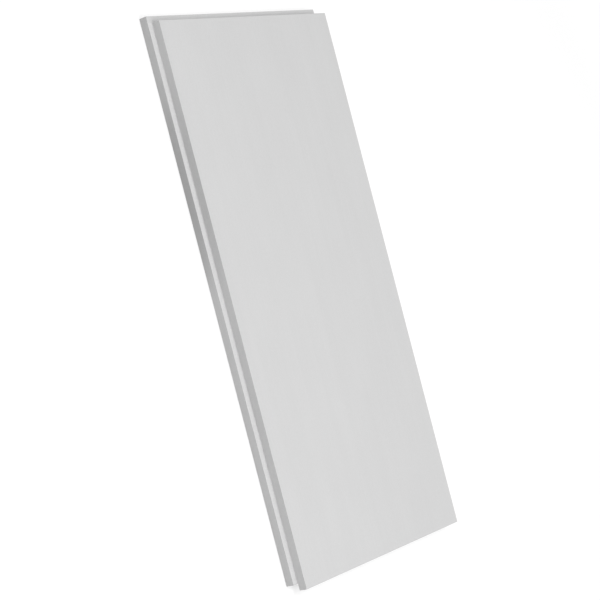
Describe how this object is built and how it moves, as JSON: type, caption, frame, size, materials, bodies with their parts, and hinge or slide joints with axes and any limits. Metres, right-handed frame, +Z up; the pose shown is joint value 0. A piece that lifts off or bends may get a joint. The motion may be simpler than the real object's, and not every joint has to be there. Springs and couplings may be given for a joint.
{
  "type": "xps insulation board",
  "caption": "Flat rigid foam insulation board with half-depth ship-lap rebates along both long edges and both ends.",
  "frame": {"origin": "centre of the board's overall outline, on the plane of its underside", "axes": "+X along the length, towards the end whose upper half overhangs; +Y across the width, towards the long edge whose upper half overhangs; +Z up through the thickness"},
  "size_m": [1.265, 0.615, 0.04],
  "materials": {
    "xps_foam": "smooth light-grey extrusion skin, satin-matt on the broad faces, matt fine-celled foam where the edges are cut"
  },
  "bodies": {
    "root": {"insulation_board": "xps_foam"}
  },
  "joints": []
}
